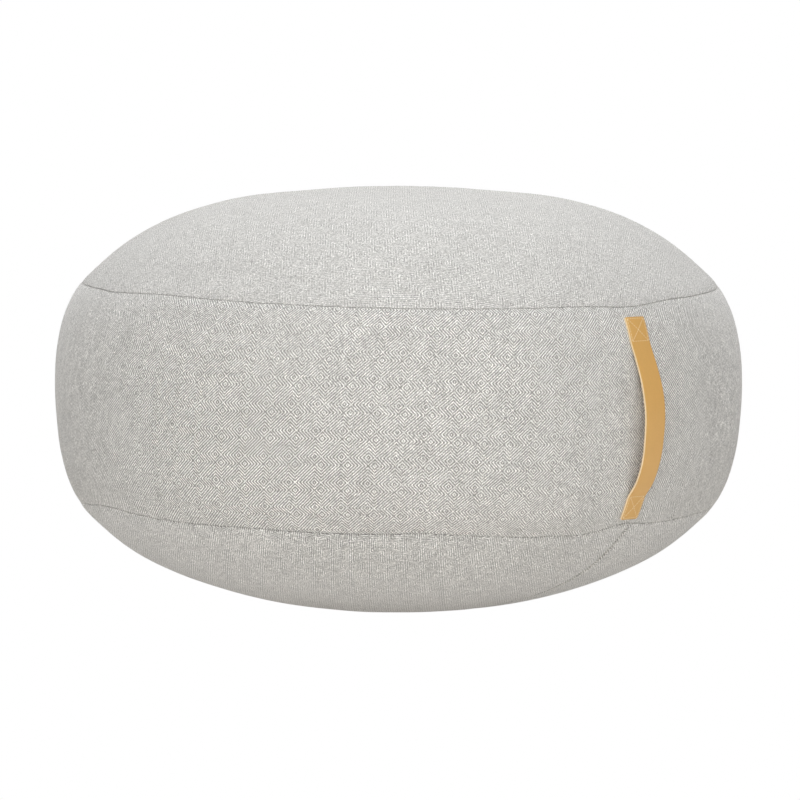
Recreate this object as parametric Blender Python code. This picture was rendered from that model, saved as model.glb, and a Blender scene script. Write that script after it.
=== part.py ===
"""Round wool pouf with a leather carrying handle, in metres, +Z up.

The pouf rests on the plane z = 0 with its axis on Z and its handle over +X. Five filled solids
make it: a crowned top panel, a bulging side band, a base in two half rounds that rests on a flat
spot, and the handle strap, which is sewn down at both ends and stands off the band between them.
"""

import math

import bmesh
import bpy
import numpy as np
from mathutils import Matrix, Vector

# Driving sizes, in metres
TOP_SEAM_HEIGHT = 0.3254
BASE_SEAM_HEIGHT = 0.1041
PIECE_GAP = 0.0003
SEAM_DEPTH = 0.0022
SEAM_REACH = 0.009
BASE_SPLIT_OFFSET = 0.004
STRAP_WIDTH_TOP = 0.0285
STRAP_WIDTH_BASE = 0.0262
STRAP_THICKNESS = 0.0026
STRAP_CORNER = 0.0022
STRAP_EDGE = 0.0005
ARC_STEP = 0.0005

# Angle between the seam across the base and the handle's direction, in degrees
BASE_SPLIT_TURN = 2.0

# Corners sharper than this stay sharp in the shading, in degrees
SHARP_ANGLE = 50.0

# Largest upward tilt of a face that still counts as upright
UPRIGHT = 0.05

# Facets
SIDES = 96
CROWN_ROWS = 15
BAND_ROWS = 15
BASE_ROWS = 13
STRAP_STEPS = 46

# Distances from a seam to the rows of corners beside it, in metres
SEAM_ROWS = (0.0, 0.0022, 0.0055)

# Outline of half of the pouf from the middle of the crown to the rim of the flat spot
MERIDIAN = (
    # radius, height above the floor
    (0.0000, 0.4270),
    (0.0980, 0.4221),
    (0.1790, 0.4117),
    (0.2350, 0.3937),
    (0.2770, 0.3701),
    (0.3060, 0.3461),
    (0.3260, 0.3254),
    (0.3385, 0.3021),
    (0.3474, 0.2672),
    (0.3500, 0.2265),
    (0.3483, 0.1933),
    (0.3433, 0.1565),
    (0.3337, 0.1251),
    (0.3220, 0.1041),
    (0.3026, 0.0840),
    (0.2736, 0.0603),
    (0.2318, 0.0376),
    (0.1610, 0.0141),
    (0.0800, 0.0000),
)

# How far each seam wanders up and down the side as it goes round
SEAM_WAVES = {
    # waves in one turn, height in metres, angle of a crest in degrees
    "top": ((1, 0.0023, -134.0), (2, 0.0042, 63.0)),
    "base": ((1, 0.0033, -134.0), (2, 0.0036, 53.0)),
}

# Back face of the strap along its length
STRAP_ROUTE = (
    # height above the floor, distance off the band
    (0.3105, 0.0003),
    (0.2970, 0.0003),
    (0.2835, 0.0004),
    (0.2610, 0.0047),
    (0.2420, 0.0094),
    (0.2190, 0.0131),
    (0.1940, 0.0133),
    (0.1680, 0.0110),
    (0.1470, 0.0062),
    (0.1325, 0.0006),
    (0.1210, 0.0003),
    (0.1085, 0.0003),
)

# Colours of the materials: red, green and blue, linear
WOOL_COLOUR = (0.60, 0.59, 0.55)
LEATHER_COLOUR = (0.62, 0.36, 0.13)


def smooth_curve(points, step):
    """Return evenly spaced samples of the smooth curve through the points, and their arc lengths."""
    points = np.array(points)
    knots = np.concatenate(([0.0], np.cumsum(np.linalg.norm(np.diff(points, axis=0), axis=1))))
    slopes = np.gradient(points, knots, axis=0, edge_order=2)
    stations = np.linspace(0.0, knots[-1], math.ceil(knots[-1] / step) + 1)
    span = np.clip(np.searchsorted(knots, stations, side="right") - 1, 0, len(knots) - 2)
    length = (knots[span + 1] - knots[span])[:, None]
    t = (stations - knots[span])[:, None] / length
    curve = (
        (2.0 * t**3 - 3.0 * t**2 + 1.0) * points[span]
        + (t**3 - 2.0 * t**2 + t) * length * slopes[span]
        + (3.0 * t**2 - 2.0 * t**3) * points[span + 1]
        + (t**3 - t**2) * length * slopes[span + 1]
    )
    arcs = np.concatenate(([0.0], np.cumsum(np.linalg.norm(np.diff(curve, axis=0), axis=1))))
    return curve, arcs


class Meridian:
    """The pouf's smooth outline, read by the distance along it from the middle of the crown."""

    def __init__(self):
        self.curve, self.arcs = smooth_curve(MERIDIAN, ARC_STEP)
        self.length = self.arcs[-1]
        self.top_seam = self.arc_at(TOP_SEAM_HEIGHT)
        self.base_seam = self.arc_at(BASE_SEAM_HEIGHT)

    def arc_at(self, height):
        """Return the distance along the outline at a height."""
        return float(np.interp(-height, -self.curve[:, 1], self.arcs))

    def point(self, arc):
        """Return the radius and height at a distance along the outline."""
        return tuple(float(np.interp(arc, self.arcs, self.curve[:, axis])) for axis in (0, 1))

    def outward(self, arc):
        """Return the outline's unit normal, as a radius and a height."""
        before = self.point(arc - ARC_STEP)
        after = self.point(arc + ARC_STEP)
        along = Vector((after[0] - before[0], after[1] - before[1])).normalized()
        return -along[1], along[0]

    def slide(self, arc, angle):
        """Return the distance along the outline once the seams have wandered up or down."""
        stops = (0.0, self.top_seam, self.base_seam, self.length)
        rise = (0.0, wave("top", angle), wave("base", angle), 0.0)
        return arc - float(np.interp(arc, stops, rise))

    def groove(self, arc):
        """Return how deep the surface is drawn in at a distance along the outline."""
        nearest = min(abs(arc - self.top_seam), abs(arc - self.base_seam))
        return seam_draw(nearest)


def wave(seam, angle):
    """Return how far a seam runs above its mean height at an angle round the pouf."""
    return sum(
        height * math.cos(count * (angle - math.radians(crest)))
        for count, height, crest in SEAM_WAVES[seam]
    )


def seam_draw(distance):
    """Return the depth of a seam's groove at a distance from its line."""
    return SEAM_DEPTH * max(0.0, 1.0 - distance / SEAM_REACH) ** 2


def rows_between(start, end, count, seam_at_start, seam_at_end):
    """Return distances from start to end: even ones, and closer ones beside each seam."""
    first = [start + row for row in SEAM_ROWS] if seam_at_start else [start]
    last = [end - row for row in reversed(SEAM_ROWS)] if seam_at_end else [end]
    even = np.linspace(first[-1], last[0], count)[1:-1]
    return first + [float(arc) for arc in even] + last


def turned_panel(meridian, arcs, first_height, last_height):
    """Turn the outline between two distances about Z, closed by a cone to the axis at each end.

    A height of None leaves that end as it is, because it already lies on the axis.
    """
    bm = bmesh.new()
    station = bm.verts.layers.float.new("station")
    profile = []
    if first_height is not None:
        profile.append(bm.verts.new((0.0, 0.0, first_height)))
    for arc in arcs:
        radius, height = meridian.point(arc)
        vert = bm.verts.new((radius, 0.0, height))
        vert[station] = arc
        profile.append(vert)
    profile.append(bm.verts.new((0.0, 0.0, last_height)))
    edges = [bm.edges.new(pair) for pair in zip(profile, profile[1:])]
    bmesh.ops.spin(
        bm,
        geom=profile + edges,
        cent=(0.0, 0.0, 0.0),
        axis=(0.0, 0.0, 1.0),
        angle=math.tau,
        steps=SIDES,
        use_merge=True,
    )
    bmesh.ops.remove_doubles(bm, verts=bm.verts, dist=PIECE_GAP / 10.0)
    draw_in_seams(bm, station, meridian)
    bmesh.ops.recalc_face_normals(bm, faces=bm.faces)
    return bm


def draw_in_seams(bm, station, meridian):
    """Slide the rows along the outline with the seams and sink them into the seams' grooves."""
    for vert in bm.verts:
        if vert.co.xy.length < PIECE_GAP:
            continue
        arc = vert[station]
        angle = math.atan2(vert.co.y, vert.co.x)
        moved = meridian.slide(arc, angle)
        radius, height = meridian.point(moved)
        out_radius, out_height = meridian.outward(moved)
        depth = meridian.groove(arc)
        radius -= depth * out_radius
        height -= depth * out_height
        vert.co.x = radius * math.cos(angle)
        vert.co.y = radius * math.sin(angle)
        vert.co.z = height


def lift_rim(bm, station, arc, lift):
    """Move the rim of a panel up or down, so that it clears the next panel."""
    for vert in bm.verts:
        if abs(vert[station] - arc) < ARC_STEP / 10.0:
            vert.co.z += lift


def top_panel(meridian):
    """Return the crowned round of the top."""
    arcs = rows_between(0.0, meridian.top_seam, CROWN_ROWS, False, True)
    bm = turned_panel(meridian, arcs, None, TOP_SEAM_HEIGHT + PIECE_GAP / 2.0)
    station = bm.verts.layers.float["station"]
    lift_rim(bm, station, arcs[-1], PIECE_GAP / 2.0)
    return bm


def side_band(meridian):
    """Return the bulging ring between the two round seams, filled to the axis."""
    arcs = rows_between(meridian.top_seam, meridian.base_seam, BAND_ROWS, True, True)
    upper_middle = TOP_SEAM_HEIGHT - PIECE_GAP / 2.0
    lower_middle = BASE_SEAM_HEIGHT + PIECE_GAP / 2.0
    bm = turned_panel(meridian, arcs, upper_middle, lower_middle)
    station = bm.verts.layers.float["station"]
    lift_rim(bm, station, arcs[0], -PIECE_GAP / 2.0)
    lift_rim(bm, station, arcs[-1], PIECE_GAP / 2.0)
    return bm


def base_half(meridian, side):
    """Return one half round of the base: side is 1 to the left of the handle and -1 to its right."""
    arcs = rows_between(meridian.base_seam, meridian.length, BASE_ROWS, True, False)
    bm = turned_panel(meridian, arcs, BASE_SEAM_HEIGHT - PIECE_GAP / 2.0, 0.0)
    station = bm.verts.layers.float["station"]
    lift_rim(bm, station, arcs[0], -PIECE_GAP / 2.0)
    keep = Matrix.Rotation(math.radians(BASE_SPLIT_TURN), 3, "Z") @ Vector((0.0, side, 0.0))
    split = -side * BASE_SPLIT_OFFSET
    for row in (SEAM_REACH, SEAM_ROWS[2], SEAM_ROWS[1]):
        cut(bm, keep, split + row, False)
    cut(bm, keep, split + PIECE_GAP / 2.0, True)
    bmesh.ops.holes_fill(bm, edges=[edge for edge in bm.edges if edge.is_boundary])
    bmesh.ops.recalc_face_normals(bm, faces=bm.faces)
    for vert in [v for v in bm.verts if is_skin(v)]:
        vert.co += skin_inward(vert, meridian) * seam_draw(vert.co.dot(keep) - split)
    return bm


def cut(bm, normal, offset, clear):
    """Cut a mesh by an upright plane, and drop what lies behind the plane when clear is set."""
    bmesh.ops.bisect_plane(
        bm,
        geom=list(bm.verts) + list(bm.edges) + list(bm.faces),
        dist=PIECE_GAP / 100.0,
        plane_co=normal * offset,
        plane_no=normal,
        clear_inner=clear,
    )


def is_skin(vert):
    """Tell whether a vertex lies on a base half's outside, clear of its rim and its flat spot."""
    tilts = [face.normal.z for face in vert.link_faces]
    return min(tilts) < -UPRIGHT and max(tilts) < UPRIGHT and vert.co.z > PIECE_GAP


def skin_inward(vert, meridian):
    """Return the direction from a vertex of the base's skin straight into the filling."""
    across = Vector((vert.co.x, vert.co.y, 0.0)).normalized()
    out_radius, out_height = meridian.outward(meridian.arc_at(vert.co.z))
    return Vector((-out_radius * across.x, -out_radius * across.y, -out_height))


def strap_half_width(arc, length):
    """Return half the strap's width at a distance along it, with its corners rounded."""
    share = arc / length
    half = (STRAP_WIDTH_TOP + (STRAP_WIDTH_BASE - STRAP_WIDTH_TOP) * share) / 2.0
    from_end = min(arc, length - arc)
    short = max(0.0, STRAP_CORNER - from_end)
    return half - STRAP_CORNER + math.sqrt(STRAP_CORNER**2 - short**2)


def strap_line(meridian):
    """Return evenly spaced points of the strap's back face in the X and Z plane."""
    points = []
    for height, off in STRAP_ROUTE:
        arc = meridian.arc_at(height)
        radius, level = meridian.point(arc)
        out_radius, out_height = meridian.outward(arc)
        points.append((radius + off * out_radius, level + off * out_height))
    return smooth_curve(points, ARC_STEP)


def handle_strap(meridian):
    """Return the strap: a flat strip laid along its line, thickened and eased at its edges."""
    curve, arcs = strap_line(meridian)
    length = arcs[-1]
    ends = (0.0, STRAP_CORNER * 0.3, STRAP_CORNER)
    inner = np.linspace(ends[-1], length - ends[-1], STRAP_STEPS)[1:-1]
    stations = list(ends) + list(inner) + [length - end for end in reversed(ends)]
    bm = bmesh.new()
    bmesh.ops.create_grid(bm, x_segments=1, y_segments=len(stations) - 1, size=1.0)
    rows = sorted({round(vert.co.y, 6) for vert in bm.verts}, reverse=True)
    for vert in bm.verts:
        arc = stations[rows.index(round(vert.co.y, 6))]
        side = math.copysign(1.0, vert.co.x)
        radius = float(np.interp(arc, arcs, curve[:, 0]))
        height = float(np.interp(arc, arcs, curve[:, 1]))
        vert.co = Vector((radius, side * strap_half_width(arc, length), height))
    bmesh.ops.recalc_face_normals(bm, faces=bm.faces)
    if bm.faces[0].normal.x > 0.0:
        bmesh.ops.reverse_faces(bm, faces=bm.faces)
    bmesh.ops.solidify(bm, geom=list(bm.faces), thickness=STRAP_THICKNESS)
    bmesh.ops.recalc_face_normals(bm, faces=bm.faces)
    rims = [edge for edge in bm.edges if edge.calc_face_angle() > math.radians(SHARP_ANGLE)]
    bmesh.ops.bevel(
        bm,
        geom=rims,
        offset=STRAP_EDGE,
        segments=1,
        profile=0.5,
        affect="EDGES",
        material=-1,
        clamp_overlap=True,
    )
    return bm


def finish(name, colour, roughness):
    """Return a plain material."""
    material = bpy.data.materials.new(name)
    material.use_nodes = True
    shader = material.node_tree.nodes["Principled BSDF"]
    shader.inputs["Base Color"].default_value = (*colour, 1.0)
    shader.inputs["Roughness"].default_value = roughness
    shader.inputs["Metallic"].default_value = 0.0
    material.diffuse_color = (*colour, 1.0)
    return material


def place(name, bm, origin, material, parent):
    """Turn a finished mesh into an object whose own origin lies at a point of the pouf."""
    mesh = bpy.data.meshes.new(name)
    bmesh.ops.translate(bm, verts=bm.verts, vec=-Vector(origin))
    bm.to_mesh(mesh)
    bm.free()
    mesh.shade_smooth()
    mesh.set_sharp_from_angle(angle=math.radians(SHARP_ANGLE))
    mesh.materials.append(material)
    node = bpy.data.objects.new(name, mesh)
    node.location = origin
    node.parent = parent
    bpy.context.collection.objects.link(node)


def main():
    """Clear the scene and build the pouf."""
    for old in list(bpy.data.objects):
        bpy.data.objects.remove(old, do_unlink=True)
    meridian = Meridian()
    pouf = bpy.data.objects.new("pouf", None)
    bpy.context.collection.objects.link(pouf)
    wool = finish("wool", WOOL_COLOUR, 0.95)
    leather = finish("leather", LEATHER_COLOUR, 0.5)
    top_centre = (0.0, 0.0, TOP_SEAM_HEIGHT)
    base_centre = (0.0, 0.0, BASE_SEAM_HEIGHT)
    widest = max(MERIDIAN)
    place("top_panel", top_panel(meridian), top_centre, wool, pouf)
    place("side_band", side_band(meridian), base_centre, wool, pouf)
    place("base_half_left", base_half(meridian, 1.0), base_centre, wool, pouf)
    place("base_half_right", base_half(meridian, -1.0), base_centre, wool, pouf)
    place("handle_strap", handle_strap(meridian), (widest[0], 0.0, widest[1]), leather, pouf)


main()
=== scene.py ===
"""Looks of a round wool pouf with a leather carrying strap.

Everything is in metres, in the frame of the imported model: the pouf rests on z = 0 with its axis on
Z and its strap over +X. The cloth is a light grey diamond twill, cut as a round for the top, a strip
for the side band and two half rounds for the base.
"""

from __future__ import annotations

import logging
import math
from collections.abc import Sequence
from dataclasses import dataclass, field
from enum import Enum

import bmesh
import bpy
import numpy as np
from mathutils import Matrix, Vector

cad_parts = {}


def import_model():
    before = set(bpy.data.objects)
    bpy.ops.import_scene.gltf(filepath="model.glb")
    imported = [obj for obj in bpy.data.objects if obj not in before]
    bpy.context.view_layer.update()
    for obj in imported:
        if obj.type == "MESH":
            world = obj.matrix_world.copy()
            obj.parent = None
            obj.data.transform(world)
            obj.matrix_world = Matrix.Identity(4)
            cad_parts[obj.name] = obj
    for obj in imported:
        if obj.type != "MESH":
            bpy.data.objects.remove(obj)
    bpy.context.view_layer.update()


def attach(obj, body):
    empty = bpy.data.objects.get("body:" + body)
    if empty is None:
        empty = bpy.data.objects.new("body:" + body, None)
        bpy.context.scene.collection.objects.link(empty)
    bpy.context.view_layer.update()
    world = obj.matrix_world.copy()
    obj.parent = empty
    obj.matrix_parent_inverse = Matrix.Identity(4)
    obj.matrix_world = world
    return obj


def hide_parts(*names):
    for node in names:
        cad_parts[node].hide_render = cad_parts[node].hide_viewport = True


LOG = logging.getLogger("pouf")

CLOTH_MAP = "cloth"
MM = 0.001
SKIN_SHARE = 0.999


class Seam(Enum):
    """The seams of the pouf: two go round it, and one runs across its base."""

    TOP = "top"
    BASE = "base"
    SPLIT = "split"


class StrapSide(Enum):
    """The sides of the leather strip, with their material indices."""

    GRAIN = 0
    CUT = 1
    FLESH = 2


def smooth_curve(points: Sequence[Sequence[float]], step: float) -> tuple[np.ndarray, np.ndarray]:
    """Sample the smooth curve through some points.

    Args:
        points: The points, each of two coordinates.
        step: The distance between samples.

    Returns:
        The samples, and the distance along the curve to each.
    """
    points = np.array(points, float)
    knots = np.concatenate(([0.0], np.cumsum(np.linalg.norm(np.diff(points, axis=0), axis=1))))
    slopes = np.gradient(points, knots, axis=0, edge_order=2)
    stations = np.linspace(0.0, knots[-1], math.ceil(knots[-1] / step) + 1)
    span = np.clip(np.searchsorted(knots, stations, side="right") - 1, 0, len(knots) - 2)
    length = (knots[span + 1] - knots[span])[:, None]
    t = (stations - knots[span])[:, None] / length
    curve = (
        (2.0 * t**3 - 3.0 * t**2 + 1.0) * points[span]
        + (t**3 - 2.0 * t**2 + t) * length * slopes[span]
        + (3.0 * t**2 - 2.0 * t**3) * points[span + 1]
        + (t**3 - t**2) * length * slopes[span + 1]
    )
    arcs = np.concatenate(([0.0], np.cumsum(np.linalg.norm(np.diff(curve, axis=0), axis=1))))
    return curve, arcs


def ripple(angle: np.ndarray, seed: int, slowest: int, fastest: int) -> np.ndarray:
    """Return an irregular wave round the pouf, about 1 high.

    Args:
        angle: Angles round the axis.
        seed: A number that picks the wave.
        slowest: The fewest waves in a turn.
        fastest: The most waves in a turn.

    Returns:
        The wave's height at each angle.
    """
    rng = np.random.default_rng(seed)
    count = 14
    peak = 1.6
    turns = rng.integers(slowest, fastest + 1, count)
    phases = rng.uniform(0.0, math.tau, count)
    height = np.zeros_like(angle)
    for turn, phase in zip(turns, phases):
        height += np.sin(turn * angle + phase)
    return height / math.sqrt(count / 2.0) / peak


@dataclass
class PoufForm:
    """The pouf's outline and seams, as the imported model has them, with the give of sewn cloth."""

    # Each point of the outline: radius, height above the floor
    meridian: tuple[tuple[float, float], ...] = (
        (0.0000, 0.4270), (0.0980, 0.4221), (0.1790, 0.4117), (0.2350, 0.3937), (0.2770, 0.3701),
        (0.3060, 0.3461), (0.3260, 0.3254), (0.3385, 0.3021), (0.3474, 0.2672), (0.3500, 0.2265),
        (0.3483, 0.1933), (0.3433, 0.1565), (0.3337, 0.1251), (0.3220, 0.1041), (0.3026, 0.0840),
        (0.2736, 0.0603), (0.2318, 0.0376), (0.1610, 0.0141), (0.0800, 0.0000),
    )
    seam_heights: dict[Seam, float] = field(
        default_factory=lambda: {Seam.TOP: 0.3254, Seam.BASE: 0.1041}
    )
    # Each wave: waves in one turn, height in metres, angle of a crest in degrees
    seam_waves: dict[Seam, tuple[tuple[int, float, float], ...]] = field(
        default_factory=lambda: {
            Seam.TOP: ((1, 0.0023, -134.0), (2, 0.0042, 63.0)),
            Seam.BASE: ((1, 0.0033, -134.0), (2, 0.0036, 53.0)),
        }
    )
    # Each pull: angle in degrees, rise in metres, reach in degrees
    seam_pulls: dict[Seam, tuple[tuple[float, float, float], ...]] = field(
        default_factory=lambda: {
            Seam.TOP: (
                (-104.0, -0.0021, 9.0), (-90.0, 0.0020, 13.0), (-3.0, -0.0026, 6.5),
                (2.5, -0.0021, 4.0),
            ),
            Seam.BASE: (
                (-106.0, 0.0056, 10.0), (-70.0, 0.0014, 8.0), (-39.0, 0.0021, 7.0),
                (-29.0, -0.0025, 8.0), (-19.0, -0.0058, 7.0), (-10.0, -0.0063, 5.5),
                (0.5, 0.0029, 4.0), (13.0, -0.0013, 6.0),
            ),
        }
    )
    widest: float = 0.35
    lip: float = 1.0 * MM
    # Width and depth of the lip that is turned in beside each seam
    lips: dict[Seam, tuple[float, float]] = field(
        default_factory=lambda: {
            Seam.TOP: (0.9 * MM, 1.0 * MM),
            Seam.BASE: (1.3 * MM, 2.2 * MM),
            Seam.SPLIT: (2.8 * MM, 6.5 * MM),
        }
    )
    draw_depth: float = 0.7 * MM
    draw_reach: float = 11.0 * MM
    pucker_height: float = 0.5 * MM
    pucker_reach: float = 9.0 * MM
    pucker_seed: int = 100
    # Fewest and most waves in a turn of the fine gathers, and of the slow ones that modulate them
    fine_gathers: tuple[int, int] = (110, 330)
    slow_gathers: tuple[int, int] = (30, 90)
    slow_seed: int = 50
    slow_share: float = 0.4
    stray: float = 0.35 * MM
    stray_waves: tuple[int, int] = (25, 130)
    stray_seeds: dict[Seam, int] = field(default_factory=lambda: {Seam.TOP: 11, Seam.BASE: 12})
    lump: float = 0.7 * MM
    lump_layers: int = 4
    lump_seed: int = 30
    lump_waves: tuple[int, int] = (3, 13)
    lump_phase: float = 1.3
    # Shares of the outline where the lumps begin, are whole, start to fade and have gone
    lump_stops: tuple[float, ...] = (0.0, 0.15, 0.85, 0.93)
    gap: float = 0.3 * MM
    step: float = 0.4 * MM
    strap_box_heights: tuple[float, float] = (0.2970, 0.1200)
    # How deep the strap's sewn ends press in, and how deep the cloth gives way under them
    strap_press: float = 0.9 * MM
    strap_dimple: float = 1.2 * MM
    strap_dimple_reach: float = 24.0 * MM
    strap_dimple_stretch: float = 0.8
    # How far to both sides of the strap the cloth is pulled smooth
    strap_calm: float = 30.0 * MM

    def __post_init__(self) -> None:
        """Work out the outline and the seams' places on it."""
        curve, arcs = smooth_curve(self.meridian, self.step)
        along = np.gradient(curve, arcs, axis=0)
        along /= np.linalg.norm(along, axis=1)[:, None]
        foot = curve[-1, 0]
        self.rim = float(arcs[-1])
        self.length = self.rim + float(foot)
        self.arcs = np.append(arcs, (self.rim + self.step, self.length))
        self.radii = np.append(curve[:, 0], (foot - self.step, 0.0))
        self.heights = np.append(curve[:, 1], (0.0, 0.0))
        self.out_radii = np.append(-along[:, 1], (0.0, 0.0))
        self.out_heights = np.append(along[:, 0], (-1.0, -1.0))
        self.seams = {seam: self.arc_at(height) for seam, height in self.seam_heights.items()}
        self.boxes = [self.arc_at(height) for height in self.strap_box_heights]

    def arc_at(self, height: float) -> float:
        """Return the distance along the outline at a height above the flat spot."""
        rising = -self.heights[: np.searchsorted(self.arcs, self.rim) + 1]
        return float(np.interp(-height, rising, self.arcs[: len(rising)]))

    def wander(self, seam: Seam, angle: np.ndarray) -> np.ndarray:
        """Return how far a seam runs above its mean height at some angles round the pouf.

        Args:
            seam: The seam.
            angle: Angles round the axis.

        Returns:
            Heights, below zero where it sags.
        """
        rise = np.zeros_like(angle)
        for turns, height, crest in self.seam_waves[seam]:
            rise += height * np.cos(turns * (angle - math.radians(crest)))
        for place, height, reach in self.seam_pulls[seam]:
            off = (np.degrees(angle) - place + 180.0) % 360.0 - 180.0
            rise += height * np.exp(-((off / reach) ** 2))
        return rise + self.stray * ripple(angle, self.stray_seeds[seam], *self.stray_waves)

    def slide(self, arc: np.ndarray, angle: np.ndarray) -> np.ndarray:
        """Return distances along the outline once the seams have wandered up or down.

        Args:
            arc: Distances along the outline.
            angle: Angles round the axis.

        Returns:
            The new distances.
        """
        stops = (0.0, self.seams[Seam.TOP], self.seams[Seam.BASE], self.rim, self.length)
        top_share = np.interp(arc, stops, (0.0, 1.0, 0.0, 0.0, 0.0))
        base_share = np.interp(arc, stops, (0.0, 0.0, 1.0, 0.0, 0.0))
        rise = top_share * self.wander(Seam.TOP, angle)
        return arc - rise - base_share * self.wander(Seam.BASE, angle)

    def tuck(self, distance: np.ndarray, seam: Seam) -> np.ndarray:
        """Return how far cloth is drawn in beside a seam.

        Args:
            distance: Distances from the seam's line.
            seam: The seam.

        Returns:
            Depths along the surface's normal.
        """
        width, depth = self.lips[seam]
        over = np.clip(1.0 - distance / width, 0.0, 1.0)
        turned = depth * (1.0 - np.sqrt(1.0 - over**2))
        drawn = self.draw_depth * np.clip(1.0 - distance / self.draw_reach, 0.0, 1.0) ** 2
        return turned + drawn

    def pucker(self, distance: np.ndarray, angle: np.ndarray, seed: int) -> np.ndarray:
        """Return the height of the small gathers beside a seam.

        Args:
            distance: Distances from the seam's line.
            angle: Angles round the axis.
            seed: A number that picks the gathers.

        Returns:
            Heights along the surface's normal.
        """
        fade = np.exp(-distance / self.pucker_reach) * np.clip(distance / self.lip, 0.0, 1.0)
        fine = ripple(angle, seed, *self.fine_gathers)
        slow = self.slow_share * ripple(angle, seed + self.slow_seed, *self.slow_gathers)
        return self.pucker_height * fade * (fine * (1.0 - self.slow_share + slow) + slow)

    def relief(self, arc: np.ndarray, angle: np.ndarray) -> np.ndarray:
        """Return how far the cloth stands above the plain outline.

        Args:
            arc: Distances along the outline, before the seams wander.
            angle: Angles round the axis.

        Returns:
            Heights along the surface's normal, below zero where the cloth is drawn in.
        """
        height = np.zeros_like(arc)
        rough = self.lumps(arc, angle)
        for number, seam in enumerate(self.seams):
            distance = np.abs(arc - self.seams[seam])
            height -= self.tuck(distance, seam)
            for side in (-1.0, 1.0):
                here = (arc - self.seams[seam]) * side > 0.0
                seed = self.pucker_seed + 10 * number + int(side)
                rough += np.where(here, self.pucker(distance, angle, seed), 0.0)
        height += rough * (1.0 - np.exp(-((angle * self.widest / self.strap_calm) ** 4)))
        for box in self.boxes:
            away = np.hypot((arc - box) * self.strap_dimple_stretch, angle * self.widest)
            height -= self.strap_dimple * np.exp(-((away / self.strap_dimple_reach) ** 2))
        return height

    def lumps(self, arc: np.ndarray, angle: np.ndarray) -> np.ndarray:
        """Return the filling's slow unevenness, which dies out on the flat spot and the crown.

        Args:
            arc: Distances along the outline.
            angle: Angles round the axis.

        Returns:
            Heights along the surface's normal.
        """
        share = arc / self.length
        fade = np.interp(share, self.lump_stops, (0.0, 1.0, 1.0, 0.0))
        height = np.zeros_like(arc)
        for number in range(self.lump_layers):
            wave = ripple(angle, self.lump_seed + number, *self.lump_waves)
            height += wave * np.sin(math.tau * (number + 1) * share + number * self.lump_phase)
        return self.lump * fade * height / 2.0

    def place(self, arc: np.ndarray, angle: np.ndarray, lift: np.ndarray) -> np.ndarray:
        """Return points of the surface.

        Args:
            arc: Distances along the outline.
            angle: Angles round the axis.
            lift: Heights above the outline.

        Returns:
            One row of three coordinates for each point.
        """
        out = lift * np.interp(arc, self.arcs, self.out_radii)
        up = lift * np.interp(arc, self.arcs, self.out_heights)
        radius = np.interp(arc, self.arcs, self.radii) + out
        height = np.interp(arc, self.arcs, self.heights) + up
        return np.stack((radius * np.cos(angle), radius * np.sin(angle), height), axis=-1)


def finished_mesh(name: str, bm: bmesh.types.BMesh) -> bpy.types.Mesh:
    """Return a mesh made from a bmesh, which is then given up.

    Args:
        name: The mesh's name.
        bm: The bmesh.

    Returns:
        The mesh.
    """
    mesh = bpy.data.meshes.new(name)
    bm.to_mesh(mesh)
    bm.free()
    return mesh


def read_points(mesh: bpy.types.Mesh) -> np.ndarray:
    """Return a mesh's points as rows of three coordinates."""
    flat = np.empty(len(mesh.vertices) * 3, np.float32)
    mesh.vertices.foreach_get("co", flat)
    return flat.reshape(-1, 3).astype(float)


def read_layer(mesh: bpy.types.Mesh, name: str) -> np.ndarray:
    """Return the numbers that a mesh's points carry under a name.

    Args:
        mesh: The mesh.
        name: The name of the layer of numbers.

    Returns:
        One number for each point.
    """
    values = np.empty(len(mesh.vertices), np.float32)
    mesh.attributes[name].data.foreach_get("value", values)
    return values.astype(float)


def write_points(mesh: bpy.types.Mesh, points: np.ndarray) -> None:
    """Put rows of three coordinates back into a mesh."""
    mesh.vertices.foreach_set("co", points.astype(np.float32).ravel())
    mesh.update()


def write_map(mesh: bpy.types.Mesh, name: str, corners: np.ndarray) -> None:
    """Give a mesh a UV map from rows of two coordinates, one for each corner."""
    layer = mesh.uv_layers.new(name=name)
    layer.uv.foreach_set("vector", corners.astype(np.float32).ravel())


def corner_table(mesh: bpy.types.Mesh) -> tuple[np.ndarray, np.ndarray]:
    """Return each corner's point, and the first corner's point of the same face.

    Args:
        mesh: The mesh.

    Returns:
        Both as indices, one for each corner.
    """
    points = np.empty(len(mesh.loops), np.int32)
    mesh.loops.foreach_get("vertex_index", points)
    sizes = np.empty(len(mesh.polygons), np.int32)
    mesh.polygons.foreach_get("loop_total", sizes)
    starts = np.empty(len(mesh.polygons), np.int32)
    mesh.polygons.foreach_get("loop_start", starts)
    return points, np.repeat(points[starts], sizes)


def make_object(
    name: str, mesh: bpy.types.Mesh, materials: Sequence[bpy.types.Material]
) -> bpy.types.Object:
    """Put a mesh into the scene as a smooth object with its materials.

    Args:
        name: The object's name.
        mesh: The mesh.
        materials: Its materials, in order.

    Returns:
        The object.
    """
    for material in materials:
        mesh.materials.append(material)
    mesh.shade_smooth()
    piece = bpy.data.objects.new(name, mesh)
    bpy.context.scene.collection.objects.link(piece)
    return piece


def seam_rows(form: PoufForm, seam: Seam) -> list[float]:
    """Return distances from a seam to the rows of points beside it, close together on its lip.

    Args:
        form: The pouf's form.
        seam: The seam.

    Returns:
        The distances, from the seam outwards.
    """
    lip_rows = (0.12, 0.25, 0.42, 0.65, 1.0, 1.4)
    wide_rows = (3.6 * MM, 5.0 * MM, 7.0 * MM, 9.5 * MM, 12.5 * MM)
    width, _ = form.lips[seam]
    return [form.gap / 2.0] + [form.gap / 2.0 + width * share for share in lip_rows] + list(wide_rows)


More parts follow.
